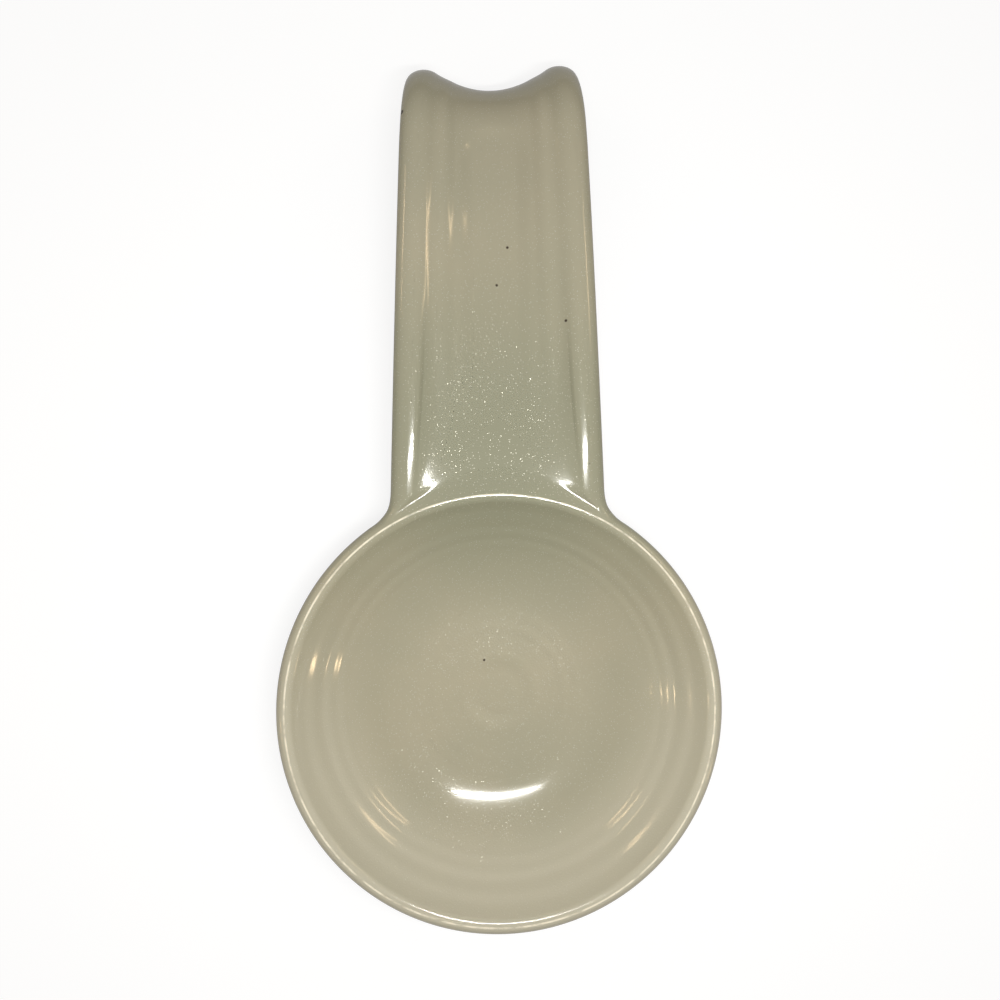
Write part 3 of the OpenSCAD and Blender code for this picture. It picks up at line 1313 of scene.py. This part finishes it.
@dataclass
class Effects:
    """The effects that the glaze and the bare clay are made with, each as a node group."""

    cloud_detail: float = 2.5
    grit_detail: float = 1.0
    speck_least: float = 0.4
    speck_core: float = 0.5
    level_flake: Triple = (0.5, 0.5, 0.5)
    clouds: bpy.types.NodeTree = field(init=False)
    specks: bpy.types.NodeTree = field(init=False)
    grit: bpy.types.NodeTree = field(init=False)
    flakes: bpy.types.NodeTree = field(init=False)

    def __post_init__(self) -> None:
        """Builds the groups once."""
        self.clouds = self.make_clouds()
        self.specks = self.make_specks()
        self.grit = self.make_grit()
        self.flakes = self.make_flakes()

    def make_clouds(self) -> bpy.types.NodeTree:
        """Makes soft clouds of tone.

        Returns:
            The group, with a mask from 0 to 1.
        """
        g, given = new_group("tone_clouds", Clouds(), {"Mask": NUMBER})
        inputs = {"Vector": g.place(), "Scale": given["Scale"], "Detail": self.cloud_detail}
        noise = g.add("ShaderNodeTexNoise", inputs).outputs["Fac"]
        g.add("NodeGroupOutput", {"Mask": g.span(noise, given["Low"], given["High"])})
        return g.tree

    def scatter(self, g: Graph, given: dict[str, Socket]) -> tuple[bpy.types.Node, bpy.types.Node, Socket]:
        """Scatters cells over the surface and picks some of them.

        Args:
            g: The group's graph.
            given: Its inputs, with the cells' scale and the share that is picked.

        Returns:
            The cells, their chance colours split into channels, and 1 in a picked cell, else 0.
        """
        cells = g.add("ShaderNodeTexVoronoi", {"Vector": g.place(), "Scale": given["Scale"]})
        chance = g.add("ShaderNodeSeparateColor", {"Color": cells.outputs["Color"]})
        return cells, chance, g.math("LESS_THAN", chance.outputs["Red"], given["Share"])

    def make_specks(self) -> bpy.types.NodeTree:
        """Makes scattered small specks.

        Returns:
            The group, with a mask from 0 to 1.
        """
        g, given = new_group("scattered_specks", Specks(), {"Mask": NUMBER})
        cells, chance, picked = self.scatter(g, given)
        wide = g.math("MULTIPLY", given["Size"], g.math("ADD", chance.outputs["Green"], self.speck_least))
        spot = g.span(cells.outputs["Distance"], wide, g.math("MULTIPLY", wide, self.speck_core))
        g.add("NodeGroupOutput", {"Mask": g.math("MULTIPLY", spot, picked)})
        return g.tree

    def make_grit(self) -> bpy.types.NodeTree:
        """Makes fine grains.

        Returns:
            The group, with each grain's height from 0 to 1.
        """
        g, given = new_group("fine_grit", Grit(), {"Height": NUMBER})
        inputs = {"Vector": g.place(), "Scale": given["Scale"], "Detail": self.grit_detail}
        g.add("NodeGroupOutput", {"Height": g.add("ShaderNodeTexNoise", inputs).outputs["Fac"]})
        return g.tree

    def make_flakes(self) -> bpy.types.NodeTree:
        """Makes scattered flat flakes.

        Returns:
            The group, with a mask from 0 to 1 and a normal that leans its own way on each flake.
        """
        g, given = new_group("tilted_flakes", Flakes(), {"Mask": NUMBER, "Normal": VECTOR})
        cells, _, picked = self.scatter(g, given)
        mask = g.math("MULTIPLY", g.math("LESS_THAN", cells.outputs["Distance"], given["Size"]), picked)
        lean = g.vector("SUBTRACT", cells.outputs["Color"], self.level_flake)
        lean = g.vector("SCALE", lean, g.math("MULTIPLY", mask, given["Tilt"]))
        leaning = g.vector("ADD", g.add("ShaderNodeNewGeometry").outputs["Normal"], lean)
        g.add("NodeGroupOutput", {"Mask": mask, "Normal": g.vector("NORMALIZE", leaning)})
        return g.tree


@dataclass(frozen=True)
class GlazeFinish:
    """Glossy grey-beige stoneware glaze: sage where it pools, warmer where it thins, with fine glitter.
    Painted light is laid in it too: painted shade round the handle's joint and in hollows, a paler painted
    wall in the dish and a painted highlight along the lip's crest.

    Its places and distances are in metres.
    """

    warm: Colour = srgb(170, 163, 140)
    cool: Colour = srgb(162, 158, 136)
    # Darker sage: painted shade round the handle's joint, and in hollows pooled glaze with painted shade
    pooled: Colour = srgb(138, 139, 117)
    thin: Colour = srgb(178, 170, 148)
    # Painted light: a paler colour laid on the dish's wall
    wall: Colour = srgb(194, 188, 168)
    # Painted highlight: a near-white line along the lip's crest
    crest: Colour = srgb(236, 228, 206)
    iron: Colour = srgb(62, 50, 38)
    rust: Colour = srgb(128, 96, 74)
    mica: Colour = srgb(198, 195, 181)
    clouds: Clouds = Clouds(30.0, 0.25, 0.8)
    fine_clouds: Clouds = Clouds(160.0, 0.3, 0.8)
    fine_share: float = 0.25
    seen_from_above: Triple = (1.0, 1.0, 0.0)
    joint_place: Triple = (0.0, 0.062, 0.025)
    # Painted shade: darker, greener glaze near the handle's joint
    joint_pool: Fade = Fade(0.055, 0.008, 0.8)
    # Pooled glaze in hollows, darkened further by painted shade in the creases
    hollow_pool: Fade = Fade(0.05, 0.7, 0.5)
    edge_thins: Fade = Fade(-0.1, -0.9, 0.3)
    dish_radius: float = 0.0521
    # Where the painted light pales the dish's wall, and how strongly
    wall_rises: Fade = Fade(0.029, 0.043)
    wall_clears: Fade = Fade(0.045, 0.095)
    wall_share: float = 0.7
    crest_r: float = 0.0498
    crest_z: float = 0.0245
    crest_fades: Fade = Fade(0.0003, 0.0001)
    # Breaks up the painted highlight on the crest
    worn: Clouds = Clouds(300.0, 0.25, 0.6)
    iron_specks: Specks = Specks(95.0, 0.05, 0.035)
    rust_specks: Specks = Specks(70.0, 0.045, 0.03)
    rust_share: float = 0.7
    spot_fades: Fade = Fade(0.0004, 0.0002)
    spots: tuple[Triple, ...] = (
        (0.0029, 0.1068, 0.0),
        (0.0003, 0.0981, 0.0),
        (0.016, 0.0894, 0.0),
        (-0.0036, 0.0084, 0.0),
    )
    glitter: Grit = Grit(2500.0)
    glitter_depth: float = 0.00003
    flakes: Flakes = Flakes(share=0.75)
    flake_metal: float = 0.55
    roughness: float = 0.33
    specular: float = 0.02
    coat_weight: float = 1.0
    coat_roughness: float = 0.115

    def tones(self, g: Graph, effects: Effects, where: Socket, radius: Socket) -> Socket:
        """Lays clouds, painted light that pales the dish's wall, painted shade round the joint, pooled glaze
        with painted shade in hollows, and the thin glaze on edges.

        Args:
            g: The material's graph.
            effects: The shared effects.
            where: Place of the shaded point.
            radius: Its distance from the dish's axis.

        Returns:
            The colour.
        """
        fine = g.math("MULTIPLY", placed(g, effects.clouds, self.fine_clouds)["Mask"], self.fine_share)
        colour = g.mix(placed(g, effects.clouds, self.clouds)["Mask"], self.warm, self.cool)
        colour = g.mix(fine, colour, self.cool)
        apart = g.vector("DISTANCE", where, self.joint_place)
        on_dish = g.math("LESS_THAN", radius, self.dish_radius)
        # Painted light: the dish's wall made paler, less so near the joint
        on_wall = g.math("MULTIPLY", g.fade(radius, self.wall_rises), on_dish)
        pale = g.math("MULTIPLY", on_wall, g.fade(apart, self.wall_clears))
        colour = g.mix(g.math("MULTIPLY", pale, self.wall_share), colour, self.wall)
        # Painted shade round the handle's joint
        colour = g.mix(g.fade(apart, self.joint_pool), colour, self.pooled)
        bend = g.add("ShaderNodeAttribute", attribute_name="bend").outputs["Fac"]
        # Pooled glaze and painted shade in hollows
        colour = g.mix(g.fade(bend, self.hollow_pool), colour, self.pooled)
        return g.mix(g.fade(bend, self.edge_thins), colour, self.thin)

    def crest_line(self, g: Graph, effects: Effects, where: Socket, radius: Socket) -> Socket:
        """Finds the crest of the dish's lip, where a near-white painted highlight runs along it in broken
        pieces.

        Args:
            g: The material's graph.
            effects: The shared effects.
            where: Place of the shaded point.
            radius: Its distance from the dish's axis.

        Returns:
            Up to 1 along the crest, else 0.
        """
        apart = g.math("ABSOLUTE", g.math("SUBTRACT", radius, self.crest_r))
        height = g.add("ShaderNodeSeparateXYZ", {0: where}).outputs["Z"]
        high = g.math("GREATER_THAN", height, self.crest_z)
        line = g.math("MULTIPLY", g.fade(apart, self.crest_fades), high)
        return g.math("MULTIPLY", line, placed(g, effects.clouds, self.worn)["Mask"])

    def marked(self, g: Graph, effects: Effects, colour: Socket, flat: Socket) -> Socket:
        """Lays the small specks and the few dark iron spots.

        Args:
            g: The material's graph.
            effects: The shared effects.
            colour: The glaze's colour under them.
            flat: Place of the shaded point, seen from above.

        Returns:
            The colour.
        """
        rust = g.math("MULTIPLY", placed(g, effects.specks, self.rust_specks)["Mask"], self.rust_share)
        colour = g.mix(rust, colour, self.rust)
        colour = g.mix(placed(g, effects.specks, self.iron_specks)["Mask"], colour, self.iron)
        for spot in self.spots:
            colour = g.mix(g.fade(g.vector("DISTANCE", flat, spot), self.spot_fades), colour, self.iron)
        return colour

    def material(self, effects: Effects) -> bpy.types.Material:
        """Builds the material.

        Args:
            effects: The shared effects.

        Returns:
            The material.
        """
        material, g = new_material("stone_glaze_finish")
        where = g.place()
        flat = g.vector("MULTIPLY", where, self.seen_from_above)
        radius = g.vector("LENGTH", flat)
        colour = self.tones(g, effects, where, radius)
        # Painted highlight along the lip's crest
        colour = g.mix(self.crest_line(g, effects, where, radius), colour, self.crest)
        colour = self.marked(g, effects, colour, flat)
        flakes = placed(g, effects.flakes, self.flakes)
        bumps = g.add("ShaderNodeBump", {
            "Height": placed(g, effects.grit, self.glitter)["Height"],
            "Distance": self.glitter_depth,
            "Normal": flakes["Normal"],
        })
        shader = g.add("ShaderNodeBsdfPrincipled", {
            "Base Color": g.mix(flakes["Mask"], colour, self.mica),
            "Metallic": g.math("MULTIPLY", flakes["Mask"], self.flake_metal),
            "Roughness": self.roughness,
            "Specular IOR Level": self.specular,
            "Normal": bumps.outputs["Normal"],
            "Coat Weight": self.coat_weight,
            "Coat Roughness": self.coat_roughness,
        })
        g.add("ShaderNodeOutputMaterial", {"Surface": shader.outputs[0]})
        return material


@dataclass(frozen=True)
class ClayFinish:
    """Bare fired clay: pale, dry and slightly gritty, greyed where it has stood on counters."""

    body: Colour = srgb(214, 204, 182)
    stain: Colour = srgb(176, 162, 138)
    grog: Colour = srgb(120, 96, 72)
    stains: Clouds = Clouds(90.0, 0.35, 0.75)
    grog_specks: Specks = Specks(600.0, 0.25, 0.12)
    grit: Grit = Grit(2000.0)
    grit_depth: float = 0.00006
    roughness: float = 0.85

    def material(self, effects: Effects) -> bpy.types.Material:
        """Builds the material.

        Args:
            effects: The shared effects.

        Returns:
            The material.
        """
        material, g = new_material("bare_clay_finish")
        colour = g.mix(placed(g, effects.clouds, self.stains)["Mask"], self.body, self.stain)
        colour = g.mix(placed(g, effects.specks, self.grog_specks)["Mask"], colour, self.grog)
        grit = placed(g, effects.grit, self.grit)["Height"]
        bumps = g.add("ShaderNodeBump", {"Height": grit, "Distance": self.grit_depth})
        shader = g.add("ShaderNodeBsdfPrincipled", {
            "Base Color": colour, "Roughness": self.roughness, "Normal": bumps.outputs["Normal"],
        })
        g.add("ShaderNodeOutputMaterial", {"Surface": shader.outputs[0]})
        return material


# The studio


PALE_LIGHT = (1.0, 1.0, 0.97)
WARM_LIGHT = (1.0, 0.72, 0.42)
WHITE = (1.0, 1.0, 1.0, 1.0)


@dataclass(frozen=True)
class Lamp:
    """An oval lamp: its place, what it faces, its width and height, all in mm, its watts and its colour."""

    name: str
    place: Triple
    aim: Triple
    size: tuple[float, float]
    power: float
    colour: Triple

    def hang(self) -> None:
        """Hangs the lamp in the scene."""
        light = bpy.data.lights.new(self.name, "AREA")
        light.shape = "ELLIPSE"
        light.size, light.size_y = self.size[0] * MM, self.size[1] * MM
        light.energy = self.power
        light.color = self.colour
        lamp = bpy.data.objects.new(self.name, light)
        lamp.location = Vector(self.place) * MM
        lamp.rotation_euler = (Vector(self.aim) - Vector(self.place)).to_track_quat("-Z", "Y").to_euler()
        bpy.context.scene.collection.objects.link(lamp)


@dataclass
class Studio:
    """Plain pale floor, soft light and the photograph's close camera.

    A long narrow lamp hangs beside the camera, two warm ones past the handle and two low ones at the sides.
    """

    camera_place: Triple = (-6.4, 45.2, 204.8)
    camera_turn: Triple = (1.08, -2.15, -0.86)
    camera_focus: float = 776.0
    camera_near: float = 5.0
    sensor: float = 36.0
    picture: float = 1000.0
    floor_size: float = 1.6
    floor_white: float = 0.8
    floor_grey: float = 0.25
    gloss_share: float = 0.35
    zenith: float = 0.56
    horizon: float = 0.13
    lamps: tuple[Lamp, ...] = (
        Lamp("beside_camera", (12, 32, 205), (0, 30, 10), (7.0, 70.0), 0.245, PALE_LIGHT),
        Lamp("warm_left", (-420, 255, 368), (0, 40, 20), (180.0, 16.0), 0.14, WARM_LIGHT),
        Lamp("warm_right", (396, 219, 416), (0, 40, 20), (180.0, 16.0), 0.14, WARM_LIGHT),
        Lamp("low_left", (-344, -113, 220), (0, 0, 20), (30.0, 20.0), 0.055, WARM_LIGHT),
        Lamp("low_right", (348, -191, 153), (0, 0, 20), (30.0, 20.0), 0.055, WARM_LIGHT),
    )

    def build(self) -> None:
        """Lays the floor, hangs the lamps and places the camera."""
        self.lay_floor()
        self.light_world()
        for lamp in self.lamps:
            lamp.hang()
        self.place_camera()
        bpy.context.scene.view_settings.view_transform = "Standard"

    def lay_floor(self) -> None:
        """Lays a pale floor that the camera sees as white, with the object's shadow on it."""
        half = self.floor_size / 2
        corners = [(-half, -half, 0), (half, -half, 0), (half, half, 0), (-half, half, 0)]
        mesh = bpy.data.meshes.new("floor")
        mesh.from_pydata(corners, [], [(0, 1, 2, 3)])
        floor = bpy.data.objects.new("floor", mesh)
        bpy.context.scene.collection.objects.link(floor)
        material, g = new_material("pale_floor")
        grey, white = self.floor_grey, g.math("MULTIPLY", self.seen_share(g), self.floor_white)
        diffuse = g.add("ShaderNodeBsdfDiffuse", {"Color": (grey, grey, grey, 1.0)})
        glow = g.add("ShaderNodeEmission", {"Strength": white})
        both = g.add("ShaderNodeAddShader", {0: diffuse.outputs[0], 1: glow.outputs[0]})
        g.add("ShaderNodeOutputMaterial", {"Surface": both.outputs[0]})
        mesh.materials.append(material)

    def seen_share(self, g: Graph) -> Socket:
        """Gives how white the floor shows: fully to the camera, less off gloss or through glass.

        Args:
            g: The floor's graph.

        Returns:
            A share from 0 to 1.
        """
        path = g.add("ShaderNodeLightPath")
        bent = g.math("MAXIMUM", path.outputs["Is Glossy Ray"], path.outputs["Is Transmission Ray"])
        return g.math("MAXIMUM", path.outputs["Is Camera Ray"], g.math("MULTIPLY", bent, self.gloss_share))

    def light_world(self) -> None:
        """Sets a surround that lights the object, brighter overhead, and shows white behind it."""
        world = bpy.data.worlds.new("surround")
        bpy.context.scene.world = world
        world.use_nodes = True
        g = Graph(world.node_tree)
        way = g.add("ShaderNodeTexCoord").outputs["Generated"]
        up = g.add("ShaderNodeSeparateXYZ", {0: way}).outputs["Z"]
        sky = g.span(up, 0.0, 1.0, self.horizon, self.zenith)
        seen = g.add("ShaderNodeLightPath").outputs["Is Camera Ray"]
        inputs = {"Color": WHITE, "Strength": g.math("MAXIMUM", seen, sky)}
        back = g.add("ShaderNodeBackground", inputs)
        g.add("ShaderNodeOutputWorld", {"Surface": back.outputs[0]})

    def place_camera(self) -> None:
        """Places the camera over the handle's root, turned as in the photograph."""
        data = bpy.data.cameras.new("camera")
        data.sensor_width = self.sensor
        data.lens = self.camera_focus * self.sensor / self.picture
        data.clip_start = self.camera_near * MM
        camera = bpy.data.objects.new("camera", data)
        turn = Vector([math.radians(a) for a in self.camera_turn])
        rotation = Matrix.Rotation(turn.length, 4, turn.normalized())
        camera.matrix_world = Matrix.Translation(Vector(self.camera_place) * MM) @ rotation
        bpy.context.scene.collection.objects.link(camera)
        bpy.context.scene.camera = camera


def main() -> None:
    """Builds the studio and the pieces, in the order in which they are made."""
    logging.basicConfig(level=logging.INFO, format="%(message)s")
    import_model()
    Studio().build()
    effects = Effects()
    glaze, clay = GlazeFinish().material(effects), ClayFinish().material(effects)

    dish_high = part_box("bowl_glaze")[1] / MM
    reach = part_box("handle_glaze")[1].y / MM
    profile = DishProfile(dish_high.x, dish_high.z)
    opening = Opening()
    path = HandlePath(reach, profile.radius, profile.height, profile.lip_t)
    handle = Handle(HandleSection(path), profile, opening)
    dish = Dish(profile)

    dish_skin = dish.skin(handle.opening_line())
    handle_skin = handle.skin()
    bend_together(dish_skin, handle_skin, len(handle.opening_line()))
    pieces = [
        add_piece("dish_glaze", dish_skin.coat(dish.glaze_t), glaze, "bowl_glaze"),
        add_piece("handle_glaze_coat", handle_skin.coat(handle.glaze_t), glaze, "handle_glaze"),
        add_piece("dish_clay", dish.clay(), clay, "bowl"),
        add_piece("handle_clay", handle.clay(handle_skin), clay, "handle"),
        add_piece("handle_heel", handle.heel(handle_skin), clay, "heel"),
        add_piece("dish_foot_ring", dish.foot_ring(), clay, "foot_ring"),
        add_piece("base_glaze_coat", dish.base_coat(), glaze, "base_glaze"),
    ]
    LOG.info("%d pieces", len(pieces))


if __name__ == "__main__":
    main()
